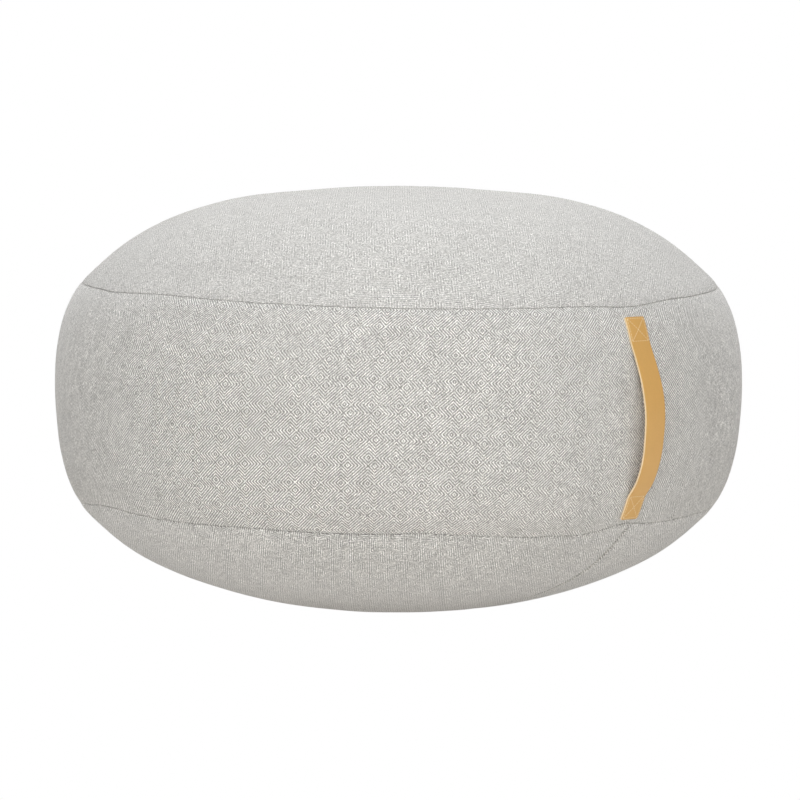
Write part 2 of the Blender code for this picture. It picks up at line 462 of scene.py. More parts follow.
def turned_cloth(
    form: PoufForm, arcs: Sequence[float], closings: Sequence[float], steps: int, cuts: int
) -> bmesh.types.BMesh:
    """Turn a stretch of the outline about Z into a closed piece of filled cloth.

    Args:
        form: The pouf's form.
        arcs: Distances along the outline, in order.
        closings: Heights on the axis of the middles of the faces that close the first and the
            last row.
        steps: The number of steps round the axis.
        cuts: The number of cuts across each step.

    Returns:
        The mesh, with each point's distance along the outline in its layer "station", and 1 in
        its layer "skin" where the point lies in the cloth.
    """
    bm = bmesh.new()
    station = bm.verts.layers.float.new("station")
    skin = bm.verts.layers.float.new("skin")
    places = form.place(np.array(arcs), np.zeros(len(arcs)), np.zeros(len(arcs)))
    profile = []
    for arc, place in zip(arcs, places):
        vert = bm.verts.new(place)
        vert[station] = arc
        vert[skin] = 1.0
        profile.append(vert)
    edges = [bm.edges.new(pair) for pair in zip(profile, profile[1:])]
    bmesh.ops.spin(
        bm,
        geom=profile + edges,
        cent=(0.0, 0.0, 0.0),
        axis=(0.0, 0.0, 1.0),
        angle=math.tau,
        steps=steps,
        use_merge=True,
    )
    rings = [edge for edge in bm.edges if edge.verts[0][station] == edge.verts[1][station]]
    bmesh.ops.subdivide_edges(bm, edges=rings, cuts=cuts, use_grid_fill=True)
    rims = [edge for edge in bm.edges if edge.is_boundary]
    lids = bmesh.ops.holes_fill(bm, edges=rims)["faces"]
    lids.sort(key=lambda lid: -lid.calc_center_median().z)
    middles = bmesh.ops.poke(bm, faces=lids)["verts"]
    middles.sort(key=lambda vert: -vert.co.z)
    for middle, height, arc in zip(middles, closings, (arcs[0], arcs[-1])):
        middle.co = (0.0, 0.0, height)
        middle[station] = arc
        middle[skin] = 0.0
    bmesh.ops.recalc_face_normals(bm, faces=bm.faces)
    return bm


@dataclass
class ClothPanel:
    """One filled piece of cloth between seams, which replaces a solid of the model."""

    form: PoufForm
    name: str
    node: str
    steps: int = 128
    cuts: int = 7
    row_step: float = 6.0 * MM
    fill: float = 0.92

    def rows(self, start: Seam | None, end: Seam | None) -> list[float]:
        """Return distances along the outline for the panel's rows.

        Args:
            start: The seam at the start, or none at the middle of the crown.
            end: The seam at the end, or none at the middle of the base.

        Returns:
            The distances, close together beside each seam.
        """
        form = self.form
        first = [form.gap]
        last = [form.length - form.gap]
        if start:
            first = [form.seams[start] + row for row in seam_rows(form, start)]
        if end:
            last = [form.seams[end] - row for row in reversed(seam_rows(form, end))]
        count = math.ceil((last[0] - first[-1]) / self.row_step) + 1
        even = np.linspace(first[-1], last[0], count)[1:-1]
        return first + [float(arc) for arc in even] + last

    def settle(self, mesh: bpy.types.Mesh) -> tuple[np.ndarray, np.ndarray]:
        """Move the panel's points to the cloth's real surface.

        Args:
            mesh: The turned mesh.

        Returns:
            Each point's distance along the outline where it now lies, and its angle.
        """
        points = read_points(mesh)
        station = read_layer(mesh, "station")
        angle = np.arctan2(points[:, 1], points[:, 0])
        share = read_layer(mesh, "skin")[:, None]
        moved = self.form.slide(station, angle)
        placed = self.form.place(moved, angle, self.form.relief(station, angle))
        shift = placed - self.form.place(station, angle, 0.0 * station)
        write_points(mesh, np.where(share > SKIN_SHARE, placed, points + share * shift))
        return moved, angle

    def finish(self, mesh: bpy.types.Mesh, cloth: bpy.types.Material) -> bpy.types.Object:
        """Make the panel's object, put it on the root body and hide the part of the model that it
        replaces.

        Args:
            mesh: The panel's mesh.
            cloth: Its material.

        Returns:
            The object.
        """
        piece = make_object(self.name, mesh, [cloth])
        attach(piece, "root")
        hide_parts(self.node)
        LOG.info("%s: %d faces", self.name, len(mesh.polygons))
        return piece


@dataclass
class Crown(ClothPanel):
    """The round of the top, with its threads along X and Y."""

    name: str = "crown_cloth"
    node: str = "top_panel"
    row_step: float = 8.0 * MM
    shear: float = 6.0
    shear_place: float = -50.0

    def build(self, cloth: bpy.types.Material) -> bpy.types.Object:
        """Model the crown and lay the weave across it, sheared a little towards the seam.

        Args:
            cloth: The cloth's material.

        Returns:
            The panel's object.
        """
        form = self.form
        arcs = self.rows(None, Seam.TOP)
        closings = (form.heights[0], form.seam_heights[Seam.TOP] + form.lip)
        bm = turned_cloth(form, arcs, closings, self.steps, self.cuts)
        mesh = finished_mesh(self.name, bm)
        moved, angle = self.settle(mesh)
        corners, _ = corner_table(mesh)
        share = (moved / form.seams[Seam.TOP]) ** 2
        from_bias = angle - math.radians(self.shear_place)
        turned = angle - math.radians(self.shear) * share * np.sin(2.0 * from_bias)
        flat = moved[:, None] * np.stack((np.cos(turned), -np.sin(turned)), axis=-1)
        write_map(mesh, CLOTH_MAP, flat[corners])
        return self.finish(mesh, cloth)


@dataclass
class Band(ClothPanel):
    """The strip round the side, joined at the back, where its weave does not meet."""

    name: str = "band_cloth"
    node: str = "side_band"
    row_step: float = 5.5 * MM
    middle_angle: float = -44.0
    start: tuple[float, float] = (20.0 * MM, 5.35 * MM)
    lean: float = 0.063
    tilt: float = 0.0205
    fan: float = 0.18
    curl: float = 0.22
    bow: float = 1.95 * MM
    bow_length: float = 0.344
    bow_place: float = -0.03

    def build(self, cloth: bpy.types.Material) -> bpy.types.Object:
        """Model the band and run the weave round it.

        Args:
            cloth: The cloth's material.

        Returns:
            The panel's object.
        """
        form = self.form
        arcs = self.rows(Seam.TOP, Seam.BASE)
        inset = form.lip
        closings = (form.seam_heights[Seam.TOP] - inset, form.seam_heights[Seam.BASE] + inset)
        bm = turned_cloth(form, arcs, closings, self.steps, self.cuts)
        mesh = finished_mesh(self.name, bm)
        moved, angle = self.settle(mesh)
        middle = math.radians(self.middle_angle)
        angle = (angle - middle + math.pi) % math.tau - math.pi
        corners, firsts = corner_table(mesh)
        turns = np.round((angle[firsts] - angle[corners]) / math.tau)
        around = (angle[corners] + turns * math.tau) * form.widest
        centre = (form.seams[Seam.TOP] + form.seams[Seam.BASE]) / 2.0
        up = centre - moved[corners]
        write_map(mesh, CLOTH_MAP, self.grain(around, up))
        return self.finish(mesh, cloth)

    def grain(self, around: np.ndarray, up: np.ndarray) -> np.ndarray:
        """Return weave coordinates: the strip lies a little askew and is pulled unevenly.

        Args:
            around: Distances round the band from its front.
            up: Distances up the band from its middle.

        Returns:
            Distances along the picks and down the ends, one row for each point.
        """
        across = around - self.lean * up + self.fan * around * up - self.curl * up**2
        bowed = self.bow * np.cos(math.tau * (around - self.bow_place) / self.bow_length)
        down = bowed - up - self.tilt * around
        return np.stack((across + self.start[0], down + self.start[1]), axis=-1)


@dataclass
class BaseHalf(ClothPanel):
    """One half round of the base. Its side is 1 to the left of the strap and -1 to its right."""

    side: int = 1
    row_step: float = 8.0 * MM
    split_turn: float = 2.0
    split_offset: float = 4.0 * MM
    # The groove grows between these distances from the round seam, and dies out before the rim
    split_start: tuple[float, float] = (0.5 * MM, 9.0 * MM)
    split_end: tuple[float, float] = (40.0 * MM, 2.0 * MM)
    merge: float = 0.001 * MM
    grain_turn: float = 3.5

    def build(self, cloth: bpy.types.Material) -> bpy.types.Object:
        """Model the half round and lay the weave flat across it.

        Args:
            cloth: The cloth's material.

        Returns:
            The panel's object.
        """
        form = self.form
        arcs = self.rows(Seam.BASE, None)
        closings = (form.seam_heights[Seam.BASE] - form.lip, 0.0)
        bm = turned_cloth(form, arcs, closings, self.steps, self.cuts)
        across = Matrix.Rotation(math.radians(self.split_turn), 3, "Z") @ Vector((0.0, 1.0, 0.0))
        keep = across * self.side
        split = -self.side * self.split_offset
        for row in reversed(seam_rows(form, Seam.SPLIT)[1:]):
            self.cut(bm, keep, split + row, False)
        self.cut(bm, keep, split + form.gap / 2.0, True)
        bmesh.ops.holes_fill(bm, edges=[edge for edge in bm.edges if edge.is_boundary])
        bmesh.ops.recalc_face_normals(bm, faces=bm.faces)
        mesh = finished_mesh(self.name, bm)
        away = read_points(mesh) @ np.array(keep) - split
        moved, angle = self.settle(mesh)
        self.sink(mesh, moved, angle, away)
        corners, _ = corner_table(mesh)
        turned = angle[corners] - math.radians(self.grain_turn)
        flat = np.stack((np.cos(turned), np.sin(turned)), axis=-1)
        write_map(mesh, CLOTH_MAP, (form.length - moved[corners, None]) * flat)
        return self.finish(mesh, cloth)

    def cut(self, bm: bmesh.types.BMesh, normal: Vector, offset: float, clear: bool) -> None:
        """Cut a mesh by an upright plane, and drop what lies behind it when clear is set."""
        bmesh.ops.bisect_plane(
            bm,
            geom=list(bm.verts) + list(bm.edges) + list(bm.faces),
            dist=self.merge,
            plane_co=normal * offset,
            plane_no=normal,
            clear_inner=clear,
        )

    def sink(
        self, mesh: bpy.types.Mesh, moved: np.ndarray, angle: np.ndarray, away: np.ndarray
    ) -> None:
        """Draw the skin in along the seam across the base, but not where the floor presses it.

        Args:
            mesh: The settled mesh.
            moved: Each point's distance along the outline.
            angle: Each point's angle round the axis.
            away: Each point's distance from the seam.
        """
        form = self.form
        points = read_points(mesh)
        from_round_seam = moved - form.seams[Seam.BASE]
        skin = (from_round_seam > 0.0) & (read_layer(mesh, "skin") > SKIN_SHARE)
        fade = np.interp(from_round_seam, self.split_start, (0.0, 1.0))
        fade *= np.interp(moved, [form.rim - before for before in self.split_end], (1.0, 0.0))
        depth = form.tuck(np.abs(away), Seam.SPLIT) * fade * skin
        inward = form.place(moved, angle, -depth) - form.place(moved, angle, 0.0 * depth)
        write_points(mesh, points + inward)


class NodeSheet:
    """A small helper that adds and links shader nodes in one tree."""

    def __init__(self, tree: bpy.types.NodeTree) -> None:
        """Keep the tree to add to."""
        self.tree = tree

    def add(self, kind: str, inputs: dict | None = None, **settings: object) -> bpy.types.Node:
        """Add a node.

        Args:
            kind: The node's type without its "ShaderNode" start.
            inputs: A value or an output socket for some inputs, by name or index.
            settings: Values of the node's own properties.

        Returns:
            The node.
        """
        node = self.tree.nodes.new("ShaderNode" + kind)
        for key, value in settings.items():
            setattr(node, key, value)
        for key, value in (inputs or {}).items():
            self.feed(node.inputs[key], value)
        return node

    def feed(self, socket: bpy.types.NodeSocket, value: object) -> None:
        """Give a socket a value, or a link if the value is a socket."""
        if isinstance(value, bpy.types.NodeSocket):
            self.tree.links.new(value, socket)
        else:
            socket.default_value = value

    def math(self, operation: str, *values: object) -> bpy.types.NodeSocket:
        """Return the result of a Math node."""
        return self.add("Math", dict(enumerate(values)), operation=operation).outputs[0]

    def blend(self, share: object, first: object, second: object) -> bpy.types.NodeSocket:
        """Return a value mixed from two."""
        return self.add("Mix", {0: share, 2: first, 3: second}, data_type="FLOAT").outputs[0]

    def tint(self, mode: str, share: object, first: object, second: object) -> bpy.types.NodeSocket:
        """Return a colour mixed from two in a blend mode."""
        inputs = {0: share, 6: first, 7: second}
        return self.add("Mix", inputs, data_type="RGBA", blend_type=mode).outputs[2]

    def shaded(self, colour: object, factor: bpy.types.NodeSocket) -> bpy.types.NodeSocket:
        """Return a colour made lighter or darker by a factor."""
        grey = self.add("CombineColor", {0: factor, 1: factor, 2: factor})
        return self.tint("MULTIPLY", 1.0, colour, grey.outputs[0])

    def bump(
        self, height: bpy.types.NodeSocket, strength: float, depth: float
    ) -> bpy.types.NodeSocket:
        """Return the normal of a surface raised by a height.

        Args:
            height: The height.
            strength: How much of it shows.
            depth: The metres that a height of 1 stands for.

        Returns:
            The normal.
        """
        inputs = {"Strength": strength, "Distance": depth, "Height": height}
        return self.add("Bump", inputs).outputs[0]

    def noise(
        self, place: bpy.types.NodeSocket, scale: Sequence[float], **values: float
    ) -> bpy.types.NodeSocket:
        """Return smooth noise at a place, stretched by a scale along each axis.

        Args:
            place: The place, as a vector.
            scale: Cells in a metre along each axis.
            values: Other inputs of the Noise Texture node, by name.

        Returns:
            The noise, from 0 to 1 and mostly near 0.5.
        """
        stretched = self.add("VectorMath", {0: place, 1: tuple(scale)}, operation="MULTIPLY")
        inputs = {"Vector": stretched.outputs[0], "Scale": 1.0, **values}
        return self.add("TexNoise", inputs).outputs[0]


def new_group(name: str, amounts: Sequence[str], outputs: Sequence[str]) -> NodeSheet:
    """Start a shader node group that works at a place.

    Args:
        name: The group's name.
        amounts: The names of its inputs besides the place, all plain values.
        outputs: The names of its outputs, all plain values.

    Returns:
        The sheet of the group's tree, which has its input and output nodes.
    """
    tree = bpy.data.node_groups.new(name, "ShaderNodeTree")
    tree.interface.new_socket("Place", in_out="INPUT", socket_type="NodeSocketVector")
    for way, labels in (("INPUT", amounts), ("OUTPUT", outputs)):
        for label in labels:
            tree.interface.new_socket(label, in_out=way, socket_type="NodeSocketFloat")
    tree.nodes.new("NodeGroupInput")
    tree.nodes.new("NodeGroupOutput")
    return NodeSheet(tree)


@dataclass(frozen=True)
class DiamondTwill:
    """A two-up two-down twill whose lines turn back in both directions, and so draw diamonds."""

    end_width: float = 0.823 * MM
    pick_width: float = 0.801 * MM
    repeat: int = 32
    long_ends: int = 24
    long_picks: int = 22
    # Each yarn passes over two and under two, so the pattern repeats every four
    shafts: float = 4.0
    # How high a yarn lies where it dips, and how much higher in the middle of its float
    dip: float = 0.45
    arch: float = 0.55
    stray: float = 0.7 * MM
    stray_scale: float = 70.0
    # The yarns' tone: step in the noise from yarn to yarn, cells in a thread along them
    yarn_spacing: float = 3.71
    yarn_pull: float = 0.3
    yarn_roughness: float = 0.65
    warp_layer: float = 9.0

    def group(self) -> bpy.types.NodeTree:
        """Return the node group that draws the weave."""
        name = "diamond_twill"
        if name in bpy.data.node_groups:
            return bpy.data.node_groups[name]
        labels = ("Warp Up", "Relief", "Tone", "Speck")
        sheet = new_group(name, ("End Width", "Pick Width"), labels)
        entry = sheet.tree.nodes["Group Input"]
        stray = sheet.add(
            "TexNoise", {"Vector": entry.outputs["Place"], "Scale": self.stray_scale, "Detail": 2.0}
        )
        centred = sheet.add(
            "VectorMath", {0: stray.outputs["Color"], 1: (0.5, 0.5, 0.5)}, operation="SUBTRACT"
        )
        shifted = sheet.add(
            "VectorMath",
            {0: centred.outputs[0], 1: (self.stray, self.stray, 0.0), 2: entry.outputs["Place"]},
            operation="MULTIPLY_ADD",
        )
        split = sheet.add("SeparateXYZ", {0: shifted.outputs[0]})
        ends = sheet.math("DIVIDE", split.outputs[0], entry.outputs["End Width"])
        ends = sheet.math("ADD", ends, 0.5)
        picks = sheet.math("DIVIDE", split.outputs[1], entry.outputs["Pick Width"])
        end_middle = sheet.math("FLOOR", ends)
        pick_middle = sheet.math("ADD", sheet.math("FLOOR", picks), 0.5)
        end_step = self.turning(sheet, sheet.math("SUBTRACT", ends, 0.5), self.long_ends)
        pick_step = self.turning(sheet, picks, self.long_picks)
        end_whole = self.turning(sheet, end_middle, self.long_ends)
        pick_whole = self.turning(sheet, pick_middle, self.long_picks)
        lift = self.run(sheet, end_whole, pick_whole, 0.0)
        off = sheet.math("ABSOLUTE", sheet.math("SUBTRACT", lift, 2.0))
        warp_up = sheet.math("LESS_THAN", off, 1.0)
        warp = self.float_height(sheet, self.run(sheet, end_whole, pick_step, 1.0), ends)
        weft = self.float_height(sheet, self.run(sheet, end_step, pick_whole, 3.0), picks)
        relief = sheet.blend(warp_up, weft, warp)
        weft_tone = self.yarn_tone(sheet, picks, ends, 0.0)
        warp_tone = self.yarn_tone(sheet, ends, picks, self.warp_layer)
        tone = sheet.blend(warp_up, weft_tone, warp_tone)
        crossing = sheet.add("CombineXYZ", {0: end_middle, 1: pick_middle})
        speck = sheet.add("TexWhiteNoise", {"Vector": crossing.outputs[0]}, noise_dimensions="2D")
        leave = sheet.tree.nodes["Group Output"]
        values = (warp_up, relief, tone, speck.outputs["Value"])
        for label, value in zip(labels, values):
            sheet.feed(leave.inputs[label], value)
        return sheet.tree

    def turning(
        self, sheet: NodeSheet, threads: bpy.types.NodeSocket, long_leg: int
    ) -> bpy.types.NodeSocket:
        """Return the twill's step at a thread: it climbs over the long leg and falls back.

        Args:
            sheet: The group's sheet.
            threads: The count of threads, whole or not.
            long_leg: The threads over which the step climbs.

        Returns:
            The step.
        """
        place = sheet.math("FLOORED_MODULO", threads, float(self.repeat))
        off = sheet.math("ABSOLUTE", sheet.math("SUBTRACT", place, float(long_leg)))
        return sheet.math("SUBTRACT", float(long_leg), off)

    def run(
        self,
        sheet: NodeSheet,
        end_step: bpy.types.NodeSocket,
        pick_step: bpy.types.NodeSocket,
        start: float,
    ) -> bpy.types.NodeSocket:
        """Return how far along its repeat a yarn is.

        Args:
            sheet: The group's sheet.
            end_step: The twill's step of the end.
            pick_step: The twill's step of the pick.
            start: The step at which the yarn's float starts.

        Returns:
            The distance in threads, from 0 up to the repeat.
        """
        steps = sheet.math("SUBTRACT", sheet.math("ADD", end_step, pick_step), start)
        return sheet.math("FLOORED_MODULO", steps, self.shafts)

    def float_height(
        self, sheet: NodeSheet, run: bpy.types.NodeSocket, threads: bpy.types.NodeSocket
    ) -> bpy.types.NodeSocket:
        """Return the height of a yarn over two others: round across and arched along it.

        Args:
            sheet: The group's sheet.
            run: How far along its float the yarn is, in threads.
            threads: The count of yarns across.

        Returns:
            The height, from 0 to 1.
        """
        across = sheet.math("FRACT", threads)
        round_across = sheet.math(
            "MULTIPLY", 4.0, sheet.math("MULTIPLY", across, sheet.math("SUBTRACT", 1.0, across))
        )
        arched = sheet.math("MULTIPLY", run, sheet.math("SUBTRACT", 2.0, run))
        arched = sheet.math("MULTIPLY_ADD", arched, self.arch, self.dip)
        return sheet.math("MULTIPLY", sheet.math("SQRT", round_across), arched)

    def yarn_tone(
        self,
        sheet: NodeSheet,
        threads: bpy.types.NodeSocket,
        along: bpy.types.NodeSocket,
        offset: float,
    ) -> bpy.types.NodeSocket:
        """Return the light and dark of carded wool, which changes from yarn to yarn.

        Args:
            sheet: The group's sheet.
            threads: The count of yarns across.
            along: The place along a yarn, in threads.
            offset: The layer of noise that these yarns are taken from.

        Returns:
            The tone, from 0 to 1 and mostly near 0.5.
        """
        number = sheet.math("MULTIPLY", sheet.math("FLOOR", threads), self.yarn_spacing)
        pulled = sheet.math("MULTIPLY", along, self.yarn_pull)
        place = sheet.add("CombineXYZ", {0: number, 1: pulled, 2: offset}).outputs[0]
        inputs = {"Vector": place, "Scale": 1.0, "Detail": 3.0, "Roughness": self.yarn_roughness}
        return sheet.add("TexNoise", inputs).outputs[0]


def mottle_group() -> bpy.types.NodeTree:
    """Return the node group for slow patches of light and dark, which every finish uses."""
    name = "mottle"
    if name in bpy.data.node_groups:
        return bpy.data.node_groups[name]
    sheet = new_group(name, ("Scale", "Strength"), ("Factor",))
    entry = sheet.tree.nodes["Group Input"]
    noise = sheet.add(
        "TexNoise",
        {"Vector": entry.outputs["Place"], "Scale": entry.outputs["Scale"], "Detail": 3.0},
    )
    centred = sheet.math("SUBTRACT", noise.outputs[0], 0.5)
    factor = sheet.math("MULTIPLY_ADD", centred, entry.outputs["Strength"], 1.0)
    sheet.feed(sheet.tree.nodes["Group Output"].inputs["Factor"], factor)
    return sheet.tree


def start_material(name: str) -> tuple[bpy.types.Material, NodeSheet, bpy.types.Node]:
    """Return a new material, its sheet and its Principled BSDF.

    Args:
        name: The material's name.

    Returns:
        All three.
    """
    material = bpy.data.materials.new(name)
    material.use_nodes = True
    sheet = NodeSheet(material.node_tree)
    return material, sheet, material.node_tree.nodes["Principled BSDF"]


def mottled(
    sheet: NodeSheet, place: bpy.types.NodeSocket, scale: float, strength: object
) -> bpy.types.NodeSocket:
    """Return a factor near 1 from the mottle group.

    Args:
        sheet: The material's sheet.
        place: The place in space.
        scale: Cells in a metre.
        strength: How far the factor moves for a whole step of the noise.

    Returns:
        The factor.
    """
    inputs = {"Place": place, "Scale": scale, "Strength": strength}
    return sheet.add("Group", inputs, node_tree=mottle_group()).outputs["Factor"]


@dataclass(frozen=True)
class GreyWool:
    """Undyed light grey wool cloth: pale warp, greyer weft, and a fine nap."""

    name: str
    clearness: float
    weave: DiamondTwill = DiamondTwill()
    warp: tuple[float, float, float] = (0.94, 0.93, 0.905)
    weft: tuple[float, float, float] = (0.31, 0.304, 0.288)
    # Where the nap lies flat or is raised: angle in degrees, height, reach, gain in clearness
    patches: tuple[tuple[float, float, float, float], ...] = (
        (-70.0, 0.190, 0.070, 0.48), (-55.0, 0.150, 0.050, 0.28), (-65.0, 0.310, 0.100, -0.18),
        (20.0, 0.230, 0.120, 0.35), (-6.0, 0.200, 0.060, -0.24), (75.0, 0.260, 0.110, 0.20),
        (140.0, 0.160, 0.120, -0.10), (-150.0, 0.230, 0.110, 0.22),
    )
    # Unevenness of the carded fibres: cells in a metre, strength
    fibres: tuple[tuple[float, float], ...] = (
        (12.0, 0.10), (40.0, 0.16), (110.0, 0.32), (260.0, 0.60), (560.0, 0.40), (1100.0, 0.70),
    )
    # Flecks of the other shade in the yarns: cells in a metre, strength
    flecks: tuple[tuple[float, float], ...] = ((560.0, 1.0), (1100.0, 1.4))
    speck: float = 0.4
    yarn_share: float = 0.6
    yarn_tone: float = 1.2
    unevenness: float = 1.0
    # Where the cloth is rougher: angle in degrees, height, reach, gain in unevenness
    rough_patches: tuple[tuple[float, float, float, float], ...] = (
        (28.0, 0.220, 0.075, 1.10),
        (-107.0, 0.220, 0.090, 0.30),
        (120.0, 0.240, 0.130, 0.30),
    )
    nap: float = 0.7
    nap_scale: float = 900.0
    sheen: float = 0.55
    sheen_roughness: float = 0.4
    # Patches in the clearness of the weave: cells in a metre, strength
    felting: tuple[float, float] = (60.0, 0.9)
    # Painted shade: how bright the colour stays in the hollows between the yarns, and the painted
    # light that their tops gain
    hollow_shade: float = 0.70
    crest: float = 0.34
    roughness: float = 0.93
    gloss: float = 0.2
    bump_strength: float = 0.7
    bump_depth: float = 0.35 * MM

    def material(self) -> bpy.types.Material:
        """Return the cloth's material."""
        material, sheet, shader = start_material(self.name)
        place = sheet.add("UVMap", uv_map=CLOTH_MAP).outputs[0]
        solid = sheet.add("TexCoord").outputs["Object"]
        widths = {"End Width": self.weave.end_width, "Pick Width": self.weave.pick_width}
        weave = sheet.add("Group", {"Place": place, **widths}, node_tree=self.weave.group())
        clear = self.patched(sheet, solid, self.clearness, self.patches)
        clear = sheet.math("MULTIPLY", clear, mottled(sheet, solid, *self.felting))
        uneven = self.patched(sheet, solid, self.unevenness, self.rough_patches)
        share = sheet.math("SUBTRACT", weave.outputs["Warp Up"], 0.5)
        share = sheet.math("MULTIPLY_ADD", share, clear, 0.5)
        for scale, strength in self.flecks:
            fleck = mottled(sheet, solid, scale, sheet.math("MULTIPLY", uneven, strength))
            share = sheet.math("ADD", share, sheet.math("SUBTRACT", fleck, 1.0))
        for output, strength in (("Speck", self.speck), ("Tone", self.yarn_share)):
            off = sheet.math("SUBTRACT", weave.outputs[output], 0.5)
            share = sheet.math("MULTIPLY_ADD", off, strength, share)
        colour = sheet.tint("MIX", share, (*self.weft, 1.0), (*self.warp, 1.0))
        # Painted shade and light: the yarns' relief darkens the colour in the hollows between them and
        # lightens it on their tops
        shade = sheet.math("MULTIPLY_ADD", weave.outputs["Relief"], self.crest, self.hollow_shade)
        darkest = 1.0 - self.yarn_tone / 2.0
        tone = sheet.math("MULTIPLY_ADD", weave.outputs["Tone"], self.yarn_tone, darkest)
        factor = sheet.math("MULTIPLY", shade, tone)
        for scale, strength in self.fibres:
            patchy = mottled(sheet, solid, scale, sheet.math("MULTIPLY", uneven, strength))
            factor = sheet.math("MULTIPLY", factor, patchy)
        sheet.feed(shader.inputs["Base Color"], sheet.shaded(colour, factor))
        shader.inputs["Roughness"].default_value = self.roughness
        shader.inputs["Sheen Weight"].default_value = self.sheen
        shader.inputs["Sheen Roughness"].default_value = self.sheen_roughness
        shader.inputs["Specular IOR Level"].default_value = self.gloss
        nap = sheet.noise(solid, (self.nap_scale,) * 3, Detail=2.0)
        height = sheet.math("MULTIPLY_ADD", nap, self.nap, weave.outputs["Relief"])
        bump = sheet.bump(height, self.bump_strength, self.bump_depth)
        sheet.feed(shader.inputs["Normal"], bump)
        return material

    def patched(
        self,
        sheet: NodeSheet,
        solid: bpy.types.NodeSocket,
        value: float,
        spots: Sequence[tuple[float, float, float, float]],
    ) -> bpy.types.NodeSocket:
        """Return a property of the cloth with the gains of its patches added.

        Args:
            sheet: The material's sheet.
            solid: The place in space.
            value: The property away from all patches.
            spots: The patches, each as patch takes it.

        Returns:
            The property.
        """
        for spot in spots:
            value = sheet.math("ADD", value, self.patch(sheet, solid, *spot))
        return value

    @staticmethod
    def patch(
        sheet: NodeSheet,
        solid: bpy.types.NodeSocket,
        angle: float,
        height: float,
        reach: float,
        gain: float,
    ) -> bpy.types.NodeSocket:
        """Return what a patch of nap adds to a property of the cloth.

        Args:
            sheet: The material's sheet.
            solid: The place in space.
            angle: Degrees round the pouf to the patch's middle.
            height: Height of its middle above the floor.
            reach: Its radius.
            gain: What it adds at its middle.

        Returns:
            The gain, which dies away smoothly.
        """
        around = math.radians(angle)
        widest = PoufForm.widest
        middle = (widest * math.cos(around), widest * math.sin(around), height)
        apart = sheet.add("VectorMath", {0: solid, 1: middle}, operation="DISTANCE").outputs["Value"]
        share = sheet.math("DIVIDE", apart, reach)
        fall = sheet.math("POWER", math.exp(-1.0), sheet.math("MULTIPLY", share, share))
        return sheet.math("MULTIPLY", fall, gain)


@dataclass(frozen=True)
class TanLeather:
    """Smooth tan leather, seen on its grain side, its cut edge or its flesh side."""

    side: StrapSide
    colour: tuple[float, float, float]
    roughness: float
    grain_scale: float
    grain_depth: float
    patch_strength: float
    # Cells in a metre of the slow and the fine patches
    patch_scales: tuple[float, float] = (45.0, 700.0)
    pore_reach: float = 0.18
    pore_polish: float = -0.5
    pore_roughness: float = 0.06
    gloss: float = 0.35
    bump_strength: float = 0.35

    def material(self) -> bpy.types.Material:
        """Return the leather's material."""
        material, sheet, shader = start_material("leather_" + self.side.name.lower())
        place = sheet.add("TexCoord").outputs["Object"]
        patches = [mottled(sheet, place, scale, self.patch_strength) for scale in self.patch_scales]
        factor = sheet.math("MULTIPLY", *patches)
        sheet.feed(shader.inputs["Base Color"], sheet.shaded((*self.colour, 1.0), factor))
        inputs = {"Vector": place, "Scale": self.grain_scale}
        cells = sheet.add("TexVoronoi", inputs, feature="DISTANCE_TO_EDGE").outputs["Distance"]
        pores = sheet.math("MINIMUM", cells, self.pore_reach)
        roughest = self.roughness + self.pore_roughness
        rough = sheet.math("MULTIPLY_ADD", pores, self.pore_polish, roughest)
        sheet.feed(shader.inputs["Roughness"], rough)
        bump = sheet.bump(pores, self.bump_strength, self.grain_depth)
        sheet.feed(shader.inputs["Normal"], bump)
        shader.inputs["Specular IOR Level"].default_value = self.gloss
        return material


@dataclass(frozen=True)
class CreamThread:
    """Waxed cream sewing thread with a fine twist."""

    colour: tuple[float, float, float] = (0.83, 0.70, 0.45)
    roughness: float = 0.6
    # Patches of tone: cells in a metre, strength
    patches: tuple[float, float] = (400.0, 0.2)
    # Cells in a metre of the twist, along each axis
    twist: tuple[float, float, float] = (5000.0, 5000.0, 1500.0)
    twist_strength: float = 0.4
    twist_depth: float = 0.1 * MM

    def material(self) -> bpy.types.Material:
        """Return the thread's material."""
        material, sheet, shader = start_material("cream_thread")
        place = sheet.add("TexCoord").outputs["Object"]
        colour = sheet.shaded((*self.colour, 1.0), mottled(sheet, place, *self.patches))
        sheet.feed(shader.inputs["Base Color"], colour)
        shader.inputs["Roughness"].default_value = self.roughness
        fibres = sheet.noise(place, self.twist)
        bump = sheet.bump(fibres, self.twist_strength, self.twist_depth)
        sheet.feed(shader.inputs["Normal"], bump)
        return material


